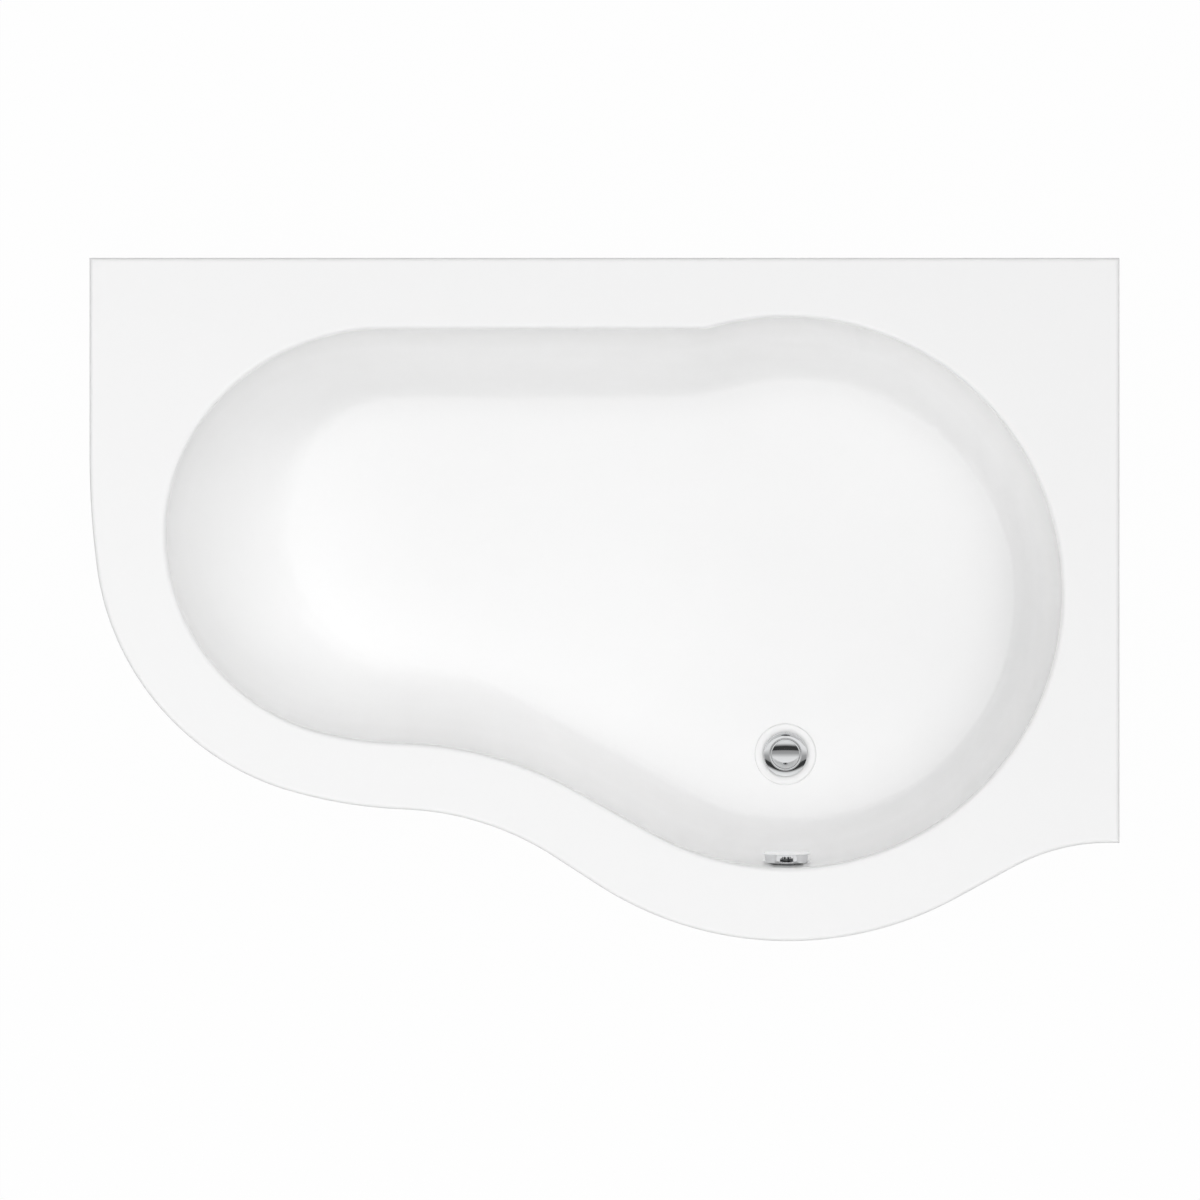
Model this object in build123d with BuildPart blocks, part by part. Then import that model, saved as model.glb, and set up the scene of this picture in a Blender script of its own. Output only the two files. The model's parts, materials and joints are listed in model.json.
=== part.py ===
from build123d import *
from math import atan2, cos, degrees, radians, sin, sqrt, tan
import os

os.makedirs("parts", exist_ok=True)

# The corner bathtub stands on its feet at z = 0, centred under its rim. X runs along the back
# wall to the wide end, Y towards the back wall, Z up. All sizes are in millimetres and degrees.

# Overall size
bath_length = 1500.0
bath_width = 995.0
rim_height = 560.0
bowl_depth = 400.0

# Sheet and its layers
sheet = 5.0
glassfibre = 4.0
layer_gap = 0.3
lip_depth = 38.0
rim_edge_radius = 6.0
bowl_edge_radius = 6.5
floor_fall = 0.8

# Bowl wall from the rim, level 0, to the floor, level 1: part straight slope, part quarter ellipse
wall_levels = (0.12, 0.34, 0.55, 0.72, 0.84, 0.92, 0.97, 1.0)
wall_straight = 0.3
wall_above_rim = 0.03

# Front of the rim in plan: arcs met one after another from the left side to the right side
rim_side_radius = 1243.0
rim_side_turn = 7.4
rim_head_radius = 394.0
rim_head_turn = 66.5
rim_bend_radius = 700.0
rim_bend_turn = 13.9
rim_waist_radius = 431.0
rim_waist_turn = 30.7
rim_foot_radius = 511.0
rim_foot_turn = 61.4
rim_foot_x = 267.5
rim_flare_radius = 285.5
rim_flare_setback = 143.0

# Turns of the bowl's plan, the same at every level
bowl_head_turn = 75.0
bowl_bend_turn = 13.9
bowl_waist_turn = 28.0
bowl_neck_turn = 15.6
bowl_shoulder_turn = 46.8

# Bowl at the rim
top_end_inset = 110.6
top_end_y = 97.3
top_head_radius = 300.2
top_bend_radius = 488.2
top_waist_radius = 555.9
top_foot_radius = 401.5
top_neck_radius = 65.0
top_shoulder_radius = 333.2
top_end_radius = 280.9

# Bowl at the floor
floor_end_inset = 292.0
floor_end_y = 97.8
floor_head_radius = 199.0
floor_bend_radius = 108.0
floor_waist_radius = 342.0
floor_foot_radius = 320.0
floor_neck_radius = 482.0
floor_shoulder_radius = 138.0
floor_end_radius = 218.0

# Clearances
running = 0.05
slip = 0.1
clear = 0.3

# Waste
waste_from_front = 93.0
recess_radius = 45.0
recess_depth = 3.0
recess_corner = 2.5
waste_hole_radius = 26.0
flange_radius = 32.5
flange_edge = 1.9
flange_dish = 1.6
flange_dish_middle = 0.9
seal_inset = 1.0
plug_gap = 1.2
spider_arms = 3
tail_radius = 23.0
tail_wall = 2.5
tail_length = 28.0
upper_seal_thickness = 1.5
lower_seal_thickness = 3.0
spider_drop = 24.0
spider_height = 4.0
spider_arm = 3.0
hub_radius = 7.0

# Plug
plug_radius = 23.0
plug_dome_radius = 20.0
plug_dome_rise = 3.0
plug_rim = 1.5
plug_seal_thickness = 1.6
plug_seal_radius = 22.0
plug_boss_radius = 16.5
plug_boss_depth = 2.4
stem_radius = 4.0
stem_tip_radius = 2.5
stem_length = 40.0
plug_lift = 8.0

# Waste cup under the floor
cup_wall = 4.4
cup_flange_radius = 38.0
cup_flange = 4.0
cup_height = 51.0
cup_outlet_radius = 17.0
cup_outlet_wall = 3.0
cup_outlet_length = 20.0
inlet_drop = 37.0
inlet_collar_radius = 18.0
inlet_collar_length = 6.0
spigot_radius = 13.4
spigot_wall = 2.4
spigot_length = 25.0

# Lifting lever and wire end
lever_offset = 17.0
lever_thickness = 4.0
lever_width = 6.0
lever_shaft_radius = 3.0
lever_hub_radius = 5.0
lever_reach = 3.0
lever_gap = 0.4
crank_thickness = 3.0
crank_width = 10.0
crank_pin_drop = 12.0
crank_tip = 6.0
crank_slot = 3.4
wire_pin_radius = 1.2
wire_radius = 1.0
wire_beyond_crank = 4.0
lug_length = 6.0
lug_offset = 8.0

# Cable sheath
cable_radius = 3.0
cable_bore = 1.4
cable_seat = 4.0

# Hose
hose_radius = 16.0
hose_bore = 13.5
hose_nut_radius = 20.5
hose_nut_length = 20.0
bend_share = 0.45
clip_height = 8.0
clip_wall = 1.8
clip_heights = (250.0, 350.0)

# Overflow
overflow_drop = 88.0
overflow_hole_radius = 21.5
overflow_tail_radius = 20.5
overflow_tail_wall = 3.5
overflow_tail_length = 28.0
overflow_flange_radius = 24.0
overflow_flange = 2.5
overflow_seat = 0.9
gasket_radius = 31.0
gasket_thickness = 3.5
elbow_flange = 4.0
elbow_wall = 4.0
elbow_depth = 32.0
elbow_drain = 20.0
knob_radius = 34.5
knob_length = 13.0
knob_face = 3.0
knob_wall = 3.0
knob_gap = 2.6
knob_hub_radius = 6.5
knob_window = 30.0
knob_back_ring = 2.0
knob_window_count = 4
spindle_radius = 3.0
cam_radius = 10.0
cam_thickness = 4.0

# Trap
trap_tube_radius = 20.0
trap_wall = 2.5
trap_bend_radius = 30.0
trap_low = 22.5
trap_weir = 80.0
trap_socket_wall = 3.3
trap_socket_depth = 14.5
trap_washer_thickness = 2.5
trap_branch_length = 58.0
pipe_clearance = 0.2
outlet_socket_depth = 28.0
nut_wall = 4.5
nut_lip = 3.5
nut_length = 18.0
nut_ribs = 12
nut_rib_radius = 1.5
cap_height = 14.0

# Base board, rails and feet
board_thickness = 15.0
board_inset = 6.0
board_cutout_radius = 58.0
board_slot = 50.0
rail_positions = {"left": -400.0, "middle": -20.0, "right": 440.0}
rail_width = 40.0
rail_height = 25.0
rail_gauge = 2.0
rail_overhang = 20.0
foot_setout = 80.0
rod_radius = 5.0
rod_above_rail = 50.0
pad_radius = 24.0
pad_height = 16.0
pad_neck_radius = 9.0
pad_base = 4.0
pad_shoulder = 9.6
pad_chamfer = 2.0
nut_flats = 17.0
nut_height = 8.0
rail_screw_radius = 2.0
rail_screw_head = 4.5
rail_screw_length = 12.0
rail_screw_share = 0.3

# Battens and wall brackets
batten_width = 45.0
batten_left_start = 215.0
batten_right_start = -320.0
bracket_width = 40.0
bracket_gauge = 3.0
bracket_foot = 52.0
bracket_drop = 50.0
bracket_hole_radius = 3.2
bracket_hole_spacing = 24.0
bracket_hole_drop = 30.0
bracket_back_x = (-450.0, 400.0)
bracket_side_y = (-120.0, 280.0)
bracket_screw_radius = 2.0
bracket_screw_head = 4.0
bracket_screw_length = 22.0

# Front panel and its blocks
panel_thickness = 4.0
panel_setback = 8.0
panel_foot = 4.0
panel_top_gap = 5.0
block_length = 70.0
block_depth = 30.0
floor_block_height = 45.0
top_block_places = (0.12, 0.3, 0.47, 0.66, 0.86)
floor_block_places = (0.05, 0.36, 0.72, 0.93)
panel_screw_radius = 2.0
panel_screw_head = 4.0
panel_screw_height = 25.0
panel_screw_spacing = 40.0
panel_screw_depth = 22.0
screw_cap_radius = 7.0
screw_cap_rise = 4.5
screw_cap_brow = 4.2
screw_cap_brow_rise = 4.05
screw_cap_edge = 0.9

# Worked-out places
half_length = bath_length / 2
half_width = bath_width / 2
rim_underside = rim_height - sheet
lip_bottom = rim_height - lip_depth
skin_outside = sheet + layer_gap + glassfibre
waist_heading = -90 + bowl_head_turn + bowl_bend_turn - bowl_waist_turn


def direction(heading):
    """Unit vector along a plan heading"""
    return Vector(cos(radians(heading)), sin(radians(heading)))


def outward(heading):
    """Unit vector to the outside of a line that runs counter-clockwise along a heading"""
    return Vector(sin(radians(heading)), -cos(radians(heading)))


def walk(point, heading, steps):
    """Draw tangent arcs, given as (radius, turn), and straight runs, given as a length"""
    for step in steps:
        if isinstance(step, tuple):
            radius, turn = step
            point = JernArc(point, direction(heading), radius, turn) @ 1
            heading += turn
        else:
            point = Line(point, point + step * direction(heading)) @ 1
    return point


def travel(heading, arcs):
    """Distance covered by a chain of tangent arcs"""
    way = Vector(0, 0)
    for radius, turn in arcs:
        signed = radius if turn > 0 else -radius
        way += signed * (outward(heading + turn) - outward(heading))
        heading += turn
    return way


def wall_share(level):
    """How far the wall has come at a level, from the rim outline to the floor outline"""
    return wall_straight * level + (1 - wall_straight) * (1 - sqrt(1 - level**2))


def bowl_plan(level, grow):
    """Bowl outline at a level, grown outwards: its leftmost point, its steps and the centre of
    its wide end"""

    def at(top, floor):
        return top + (floor - top) * wall_share(level)

    front = [
        (at(top_head_radius, floor_head_radius) + grow, bowl_head_turn),
        (at(top_bend_radius, floor_bend_radius) + grow, bowl_bend_turn),
        (at(top_waist_radius, floor_waist_radius) - grow, -bowl_waist_turn),
    ]
    foot_radius = at(top_foot_radius, floor_foot_radius) + grow
    foot = [
        (foot_radius, 180 + bowl_neck_turn - waist_heading),
        (at(top_neck_radius, floor_neck_radius) - grow, -bowl_neck_turn),
    ]
    back = [
        (at(top_shoulder_radius, floor_shoulder_radius) + grow, bowl_shoulder_turn),
        (at(top_end_radius, floor_end_radius) + grow, 90 - bowl_shoulder_turn),
    ]
    gap = travel(-90, front) + travel(waist_heading, foot) + travel(180, back)
    waist_run = -gap.Y / sin(radians(waist_heading))
    back_run = gap.X + waist_run * cos(radians(waist_heading))
    inset = at(top_end_inset, floor_end_inset) - grow
    start = Vector(-half_length + inset, at(top_end_y, floor_end_y))
    meeting = start + travel(-90, front) + waist_run * direction(waist_heading)
    centre = meeting - foot_radius * outward(waist_heading)
    return start, [*front, waist_run, *foot, back_run, *back], centre


def bowl_line(level, grow=0.0):
    """Edges of the bowl outline at a level"""
    start, steps, centre = bowl_plan(level, grow)
    with BuildLine() as line:
        walk(start, -90, steps)
    return line.edges()


def foot_front(level):
    """Centre of the wide end and the foremost point of its wall at a level"""
    centre = bowl_plan(level, 0)[2]
    radius = top_foot_radius + (floor_foot_radius - top_foot_radius) * wall_share(level)
    return centre, centre.Y - radius


def rim_line(inset):
    """Edges of the rim outline, moved inwards by an inset; the first eight are its front"""
    first_arcs = [
        (rim_side_radius - inset, rim_side_turn),
        (rim_head_radius - inset, rim_head_turn),
        (rim_bend_radius - inset, rim_bend_turn),
        (rim_waist_radius + inset, -rim_waist_turn),
    ]
    into_foot = -90 + rim_side_turn + rim_head_turn + rim_bend_turn - rim_waist_turn
    out_of_foot = into_foot + rim_foot_turn
    foot_radius = rim_foot_radius - inset
    centre = Vector(rim_foot_x, -half_width + rim_foot_radius)
    way = travel(-90, first_arcs)
    left = -half_length + inset
    right = half_length - inset
    back = half_width - inset
    reached = centre + foot_radius * outward(into_foot)
    waist_run = (reached.X - left - way.X) / cos(radians(into_foot))
    start = Vector(left, reached.Y - way.Y - waist_run * sin(radians(into_foot)))
    flare = (rim_flare_radius + inset, -out_of_foot)
    leaving = centre + foot_radius * outward(out_of_foot)
    flare_y = -half_width + rim_flare_setback + inset
    flare_rise = flare_y - leaving.Y - travel(out_of_foot, [flare]).Y
    flare_run = flare_rise / sin(radians(out_of_foot))
    steps = [*first_arcs, waist_run, (foot_radius, rim_foot_turn), flare_run, flare]
    with BuildLine() as line:
        end = walk(start, -90, steps)
        Polyline(end, (right, end.Y), (right, back), (left, back), start)
    return line.edges()


# Where the waste and the overflow stand
above_level, below_level = wall_levels[:2]
overflow_centre, above_y = foot_front(above_level)
below_y = foot_front(below_level)[1]
wall_lean = degrees(atan2(below_y - above_y, (below_level - above_level) * bowl_depth))
overflow_y = above_y + (overflow_drop - above_level * bowl_depth) * tan(radians(wall_lean))
overflow_z = rim_height - overflow_drop
waste_x = overflow_centre.X
waste_y = foot_front(1)[1] + waste_from_front
floor_height = rim_height - bowl_depth
recess_floor = floor_height - recess_depth
waste_at = (waste_x, waste_y)


def floor_at(x):
    """Height of the sloping bowl floor at x"""
    return floor_height - (x - waste_x) * tan(radians(floor_fall))


def floor_plane(drop):
    """Plane of the sloping floor, lowered by a drop"""
    slope = radians(floor_fall)
    down_slope = (cos(slope), 0, -sin(slope))
    return Plane((0, 0, floor_at(0) - drop), x_dir=down_slope, z_dir=(sin(slope), 0, cos(slope)))


def overflow_plane(out):
    """Plane square to the front wall at the overflow, moved out from the wall into the bowl"""
    lean = radians(wall_lean)
    normal = Vector(0, cos(lean), sin(lean))
    origin = Vector(waste_x, overflow_y, overflow_z) + out * normal
    return Plane(origin, x_dir=(-1, 0, 0), z_dir=normal)


def bowl_plane(level, grow):
    """Plane of a bowl outline, which tilts and drops with the wall until it meets the floor"""
    slope = radians(floor_fall) * level
    height = rim_height - level * bowl_depth - grow * wall_share(level) + waste_x * tan(slope)
    return Plane((0, 0, height), x_dir=(cos(slope), 0, -sin(slope)), z_dir=(sin(slope), 0, cos(slope)))


def bowl_body(grow, top):
    """Solid bowl, grown outwards and down, from a top height to the floor"""
    with BuildPart() as bowl:
        for level in ((rim_height - top) / bowl_depth, *wall_levels):
            with BuildSketch(bowl_plane(level, grow)):
                make_face(bowl_line(level, grow))
        loft(ruled=True)
    return bowl.part


def disc(plane, radius, thickness, bore=0.0):
    """Disc or ring standing on a plane"""
    with BuildPart() as piece:
        with BuildSketch(plane):
            Circle(radius)
            if bore:
                Circle(bore, mode=Mode.SUBTRACT)
        extrude(amount=thickness)
    return piece.part


def spun(profile, plane):
    """Solid of revolution of (radius, height) points about a plane's normal"""
    with BuildPart() as piece:
        with BuildSketch(Plane(plane.origin, x_dir=plane.x_dir, z_dir=-plane.y_dir)):
            with BuildLine():
                Polyline(profile, close=True)
            make_face()
        revolve(axis=Axis(plane.origin, plane.z_dir))
    return piece.part


def save(piece, node):
    """Label a finished piece and write it"""
    piece.label = node
    export_step(piece, f"parts/{node}.step")


# Bath shell: rim with down-turned lip, bowl, waste recess and overflow hole
bowl_space = bowl_body(0, rim_height + wall_above_rim * bowl_depth)
bowl_skin = bowl_body(sheet, rim_height - sheet / 2)
with BuildPart() as bath_shell:
    with BuildSketch(Plane.XY.offset(lip_bottom)):
        make_face(rim_line(0))
    extrude(amount=lip_depth)
    with BuildSketch(Plane.XY.offset(lip_bottom)):
        make_face(rim_line(sheet))
    extrude(amount=lip_depth - sheet, mode=Mode.SUBTRACT)
    add(bowl_skin)
    with BuildSketch(Plane.XY.offset(recess_floor - sheet)):
        with Locations(waste_at):
            Circle(recess_radius + sheet)
    extrude(amount=sheet)
    add(bowl_space, mode=Mode.SUBTRACT)
    rim_top = bath_shell.faces().sort_by(Axis.Z)[-1]
    fillet(rim_top.inner_wires()[0].edges(), radius=bowl_edge_radius)
    under = bath_shell.faces().filter_by_position(Axis.Z, rim_underside - clear, rim_underside + clear)
    fillet(under[0].inner_wires()[0].edges(), radius=bowl_edge_radius - sheet)
    rim_top = bath_shell.faces().sort_by(Axis.Z)[-1]
    fillet(rim_top.outer_wire().edges(), radius=rim_edge_radius)
    with BuildSketch(Plane.XY.offset(recess_floor)):
        with Locations(waste_at):
            Circle(recess_radius)
    extrude(amount=recess_depth * 2, mode=Mode.SUBTRACT)
    recess_edges = bath_shell.edges().filter_by(GeomType.CIRCLE)
    recess_ring = recess_edges.filter_by_position(Axis.Z, recess_floor - slip, recess_floor + slip)
    fillet(recess_ring, radius=recess_corner)
    with BuildSketch(Plane.XY.offset(recess_floor - sheet)):
        with Locations(waste_at):
            Circle(waste_hole_radius)
    extrude(amount=sheet, mode=Mode.SUBTRACT)
    with BuildSketch(overflow_plane(sheet)):
        Circle(overflow_hole_radius)
    extrude(amount=-3 * sheet, mode=Mode.SUBTRACT)
save(bath_shell.part, "bath_shell")

# Glassfibre laid on the outside of the bowl
fibre_inside = bowl_body(sheet + layer_gap, rim_underside)
fibre_outside = bowl_body(skin_outside, rim_underside - bowl_edge_radius)
with BuildPart() as glassfibre_backing:
    add(fibre_outside)
    add(fibre_inside, mode=Mode.SUBTRACT)
    with BuildSketch(Plane.XY.offset(recess_floor - sheet - glassfibre * 2)):
        with Locations(waste_at):
            Circle(recess_radius + sheet + layer_gap)
    extrude(amount=glassfibre * 4, mode=Mode.SUBTRACT)
    with BuildSketch(overflow_plane(0)):
        Circle(overflow_hole_radius)
    extrude(amount=-skin_outside * 2, mode=Mode.SUBTRACT)
save(glassfibre_backing.part, "glassfibre_backing")

# Rails across the bath, each under the board and as long as the bowl floor is wide there
with BuildSketch() as floor_face:
    make_face(bowl_line(1))


def floor_span(x):
    """Front and back y of the bowl floor at x"""
    line = Edge.make_line((x, -half_width), (x, half_width))
    box = Compound(floor_face.sketch.face().intersect(line)).bounding_box()
    return box.min.Y, box.max.Y


def rail_top(x):
    """Height of the underside of the board over a rail"""
    return floor_at(x + rail_width / 2) - skin_outside - board_thickness


def rod_places(x):
    """Front and back rod centres of a rail"""
    front, back = floor_span(x)
    return (x, front - foot_setout), (x, back + foot_setout)


def rail_screw_places(x):
    """Three screw places along a rail"""
    front, back = floor_span(x)
    middle = (front + back) / 2
    step = (back - front) * rail_screw_share
    return [(x, middle - step), (x, middle), (x, middle + step)]


# Base board with an open slot for the waste and its hose
with BuildPart() as base_board:
    with BuildSketch(floor_plane(skin_outside)):
        make_face(bowl_line(1, -board_inset))
    extrude(amount=-board_thickness)
    with BuildSketch(Plane.XY):
        with Locations(waste_at):
            Circle(board_cutout_radius)
        with Locations((waste_x, waste_y - waste_from_front / 2)):
            Rectangle(board_slot, waste_from_front)
    extrude(amount=floor_height, mode=Mode.SUBTRACT)
    for x in rail_positions.values():
        with BuildSketch(Plane.XY.offset(rail_top(x))):
            with Locations(*rail_screw_places(x)):
                Circle(rail_screw_radius + running)
        extrude(amount=rail_screw_length, mode=Mode.SUBTRACT)
save(base_board.part, "base_board")

for name, x in rail_positions.items():
    (_, front), (_, back) = rod_places(x)
    length = back - front + 2 * rail_overhang
    middle = (x, (front + back) / 2)
    with BuildPart() as leg_rail:
        with BuildSketch(Plane.XY.offset(rail_top(x) - rail_height)):
            with Locations(middle):
                Rectangle(rail_width, length)
        extrude(amount=rail_height)
        fillet(leg_rail.edges().filter_by(Axis.Y).group_by(Axis.Z)[-1], radius=rail_gauge)
        with BuildSketch(Plane.XY.offset(rail_top(x) - rail_height)):
            with Locations(middle):
                Rectangle(rail_width - 2 * rail_gauge, length)
        extrude(amount=rail_height - rail_gauge, mode=Mode.SUBTRACT)
        with BuildSketch(Plane.XY.offset(rail_top(x) - rail_gauge)):
            with Locations(*rod_places(x)):
                Circle(rod_radius + 2 * clear)
            with Locations(*rail_screw_places(x)):
                Circle(rail_screw_radius + clear)
        extrude(amount=rail_gauge, mode=Mode.SUBTRACT)
    save(leg_rail.part, f"leg_rail_{name}")

# Wood screws that hold the rails up to the board
with BuildPart() as rail_screws:
    for x in rail_positions.values():
        web_under = rail_top(x) - rail_gauge
        for spot in rail_screw_places(x):
            head = (rail_screw_head, -rail_screw_head / 2), (rail_screw_head, 0)
            tip = rail_screw_length + rail_gauge - 2 * slip
            shank = (rail_screw_radius, 0), (rail_screw_radius, tip - rail_screw_radius), (0, tip)
            add(spun([(0, -rail_screw_head / 2), *head, *shank], Plane((*spot, web_under))))
save(rail_screws.part, "rail_screws")

# Levelling feet: threaded rod and pad, one pair at each rail end
for name, x in rail_positions.items():
    for side, spot in zip(("front", "back"), rod_places(x)):
        rod_top = rail_top(x) + rod_above_rail
        save(disc(Plane((*spot, pad_base)), rod_radius, rod_top - pad_base), f"leg_rod_{name}_{side}")
        base = [(0, 0), (pad_radius - pad_chamfer, 0), (pad_radius, pad_chamfer), (pad_radius, pad_base)]
        neck = [(pad_neck_radius, pad_shoulder), (pad_neck_radius, pad_height)]
        bore = [(rod_radius + running, pad_height), (rod_radius + running, pad_base), (0, pad_base)]
        save(spun([*base, *neck, *bore], Plane((*spot, 0))), f"foot_pad_{name}_{side}")

# Lock nuts above and below the web at each rod
with BuildPart() as rail_nuts:
    for x in rail_positions.values():
        for base in (rail_top(x) - rail_gauge - nut_height, rail_top(x)):
            with BuildSketch(Plane.XY.offset(base)):
                with Locations(*rod_places(x)):
                    RegularPolygon(nut_flats / 2, 6, major_radius=False)
                    Circle(rod_radius + running, mode=Mode.SUBTRACT)
            extrude(amount=nut_height)
save(rail_nuts.part, "rail_nuts")

# Timber battens under the rim, flush with the bottom of the lip
batten_out = sheet + clear
batten_left = panel_setback + panel_thickness + clear
batten_back_y = half_width - batten_out
batten_left_x = -half_length + batten_left
batten_right_x = half_length - batten_out
batten_front_y = batten_back_y - batten_width
battens = {
    "back": ((batten_left_x, batten_front_y), (batten_right_x, batten_back_y)),
    "left": ((batten_left_x, batten_left_start), (batten_left_x + batten_width, batten_front_y)),
    "right": ((batten_right_x - batten_width, batten_right_start), (batten_right_x, batten_front_y)),
}

# Angles between the battens and the walls: place on the wall and turn of each
brackets = {
    "back_left": ((bracket_back_x[0], half_width), 0),
    "back_right": ((bracket_back_x[1], half_width), 0),
    "side_front": ((half_length, bracket_side_y[0]), -90),
    "side_back": ((half_length, bracket_side_y[1]), -90),
}


def bracket_plane(name):
    """Plane on top of an angle, at the wall, with Y towards the wall"""
    (x, y), turn = brackets[name]
    return Plane((x, y, lip_bottom), x_dir=direction(turn), z_dir=(0, 0, 1))


def bracket_screw_spots(name):
    """Screw places of an angle's flange under the batten"""
    reach = bracket_foot - batten_width / 2
    plane = bracket_plane(name)
    across = bracket_hole_spacing / 2
    return [plane.from_local_coords((side, -reach, 0)) for side in (-across, across)]


for side, (low, high) in battens.items():
    with BuildPart() as batten:
        with BuildSketch(Plane.XY.offset(lip_bottom)):
            with Locations(((low[0] + high[0]) / 2, (low[1] + high[1]) / 2)):
                Rectangle(high[0] - low[0], high[1] - low[1])
        extrude(amount=lip_depth - sheet)
        for name in brackets:
            with BuildSketch(Plane.XY.offset(lip_bottom)):
                with Locations(*[(spot.X, spot.Y) for spot in bracket_screw_spots(name)]):
                    Circle(bracket_screw_radius + running)
            extrude(amount=bracket_screw_length, mode=Mode.SUBTRACT)
    save(batten.part, f"rim_batten_{side}")

for name in brackets:
    top = bracket_plane(name)
    with BuildPart() as bracket:
        with BuildSketch(top.offset(-bracket_gauge)):
            with Locations((0, -bracket_foot / 2)):
                Rectangle(bracket_width, bracket_foot)
        extrude(amount=bracket_gauge)
        with BuildSketch(top.offset(-bracket_drop)):
            with Locations((0, -bracket_gauge / 2)):
                Rectangle(bracket_width, bracket_gauge)
        extrude(amount=bracket_drop)
        with BuildSketch(Plane(top.origin, x_dir=top.x_dir, z_dir=top.y_dir)):
            with Locations((0, bracket_hole_drop)):
                with GridLocations(bracket_hole_spacing, 0, 2, 1):
                    Circle(bracket_hole_radius)
        extrude(amount=-bracket_gauge, mode=Mode.SUBTRACT)
        with BuildSketch(Plane.XY.offset(lip_bottom - bracket_gauge)):
            with Locations(*[(spot.X, spot.Y) for spot in bracket_screw_spots(name)]):
                Circle(bracket_screw_radius + clear)
        extrude(amount=bracket_gauge, mode=Mode.SUBTRACT)
    save(bracket.part, f"wall_bracket_{name}")

with BuildPart() as bracket_screws:
    for name in brackets:
        for spot in bracket_screw_spots(name):
            head = (bracket_screw_head, -bracket_screw_head / 2), (bracket_screw_head, 0)
            tip = bracket_screw_length - slip
            shank = (bracket_screw_radius, 0), (bracket_screw_radius, tip - bracket_screw_radius), (0, tip)
            under = Plane((spot.X, spot.Y, lip_bottom - bracket_gauge))
            add(spun([(0, -bracket_screw_head / 2), *head, *shank], under))
save(bracket_screws.part, "bracket_screws")


def waste_plane(height):
    """Plane at the waste axis, at a height over the recess floor"""
    return Plane((waste_x, waste_y, recess_floor + height))


# Waste flange: dished ring, threaded tail and the spider that guides the plug stem
flange_low = upper_seal_thickness
flange_top = flange_low + flange_edge + flange_dish
seat_top = flange_low + flange_dish
tail_inside = tail_radius - tail_wall
dish_inner = plug_radius + plug_gap
with BuildPart() as waste_flange:
    with BuildSketch(Plane(waste_plane(0).origin, x_dir=(1, 0, 0), z_dir=(0, -1, 0))):
        with BuildLine():
            Polyline(
                (dish_inner, seat_top),
                (tail_inside, seat_top),
                (tail_inside, -tail_length),
                (tail_radius, -tail_length),
                (tail_radius, flange_low),
                (flange_radius, flange_low),
                (flange_radius, flange_top - flange_edge / 2),
                (flange_radius - flange_edge / 2, flange_top),
            )
            dish = (flange_radius + dish_inner) / 2, seat_top + flange_dish_middle
            ThreePointArc((flange_radius - flange_edge / 2, flange_top), dish, (dish_inner, seat_top))
        make_face()
    revolve(axis=Axis(waste_plane(0).origin, (0, 0, 1)))
    with BuildSketch(waste_plane(-spider_drop)):
        with PolarLocations(tail_inside / 2, spider_arms):
            Rectangle(tail_inside + tail_wall, spider_arm)
        Circle(hub_radius)
        Circle(stem_radius + running, mode=Mode.SUBTRACT)
    extrude(amount=spider_height)
save(waste_flange.part, "waste_flange")

# Rubber washers above and below the acrylic
seal_bore = waste_hole_radius + clear
upper_seal_radius = flange_radius - seal_inset
save(disc(waste_plane(0), upper_seal_radius, upper_seal_thickness, seal_bore), "waste_seal_upper")
lower_seal = waste_plane(-sheet - lower_seal_thickness)
lower_seal_radius = cup_flange_radius - seal_inset
save(disc(lower_seal, lower_seal_radius, lower_seal_thickness, seal_bore), "waste_seal_lower")

# Plug: domed cap, rubber seal and stem
cap_low = seat_top + plug_seal_thickness + clear / 2
cap_rim = cap_low + plug_rim
boss_low = cap_low - plug_boss_depth
with BuildPart() as plug_cap:
    with BuildSketch(Plane(waste_plane(0).origin, x_dir=(1, 0, 0), z_dir=(0, -1, 0))):
        with BuildLine():
            groove = plug_rim / 2
            ring = plug_dome_radius + groove
            dome = Line((plug_dome_radius, cap_rim + groove), (plug_dome_radius, cap_rim - groove / 2))
            Polyline(
                dome @ 1,
                (ring, cap_rim - groove / 2),
                (ring, cap_rim),
                (plug_radius - groove, cap_rim),
                (plug_radius, cap_rim - groove),
                (plug_radius, cap_low),
                (plug_boss_radius, cap_low),
                (plug_boss_radius, boss_low),
                (stem_tip_radius + slip, boss_low),
                (stem_tip_radius + slip, cap_rim),
                (0, cap_rim),
                (0, cap_rim + plug_dome_rise),
            )
            TangentArc((0, cap_rim + plug_dome_rise), dome @ 0, tangent=(1, 0))
        make_face()
    revolve(axis=Axis(waste_plane(0).origin, (0, 0, 1)))
save(plug_cap.part, "plug_cap")
seal_plane = waste_plane(cap_low - plug_seal_thickness)
save(disc(seal_plane, plug_seal_radius, plug_seal_thickness, plug_boss_radius + slip), "plug_seal")
stem_low = boss_low - stem_length
stem_tip = cap_rim - boss_low - slip
with BuildPart() as plug_stem:
    add(disc(waste_plane(stem_low), stem_radius, stem_length))
    add(disc(waste_plane(boss_low), stem_tip_radius, stem_tip))
save(plug_stem.part, "plug_stem")

# Waste cup: threaded cup with overflow inlet, lever boss and cable stop
cup_top = -sheet - lower_seal_thickness
cup_inside = tail_radius + slip
cup_radius = cup_inside + cup_wall
cup_low = cup_top - cup_height
inlet_height = cup_top - inlet_drop
lever_height = stem_low - lever_gap - lever_thickness / 2
pin_height = lever_height - crank_pin_drop
crank_x = cup_radius + lever_gap + slip
wire_x = crank_x + crank_thickness + wire_beyond_crank
outlet_radius = cup_outlet_radius + cup_outlet_wall
spigot_bore = spigot_radius - spigot_wall


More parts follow.
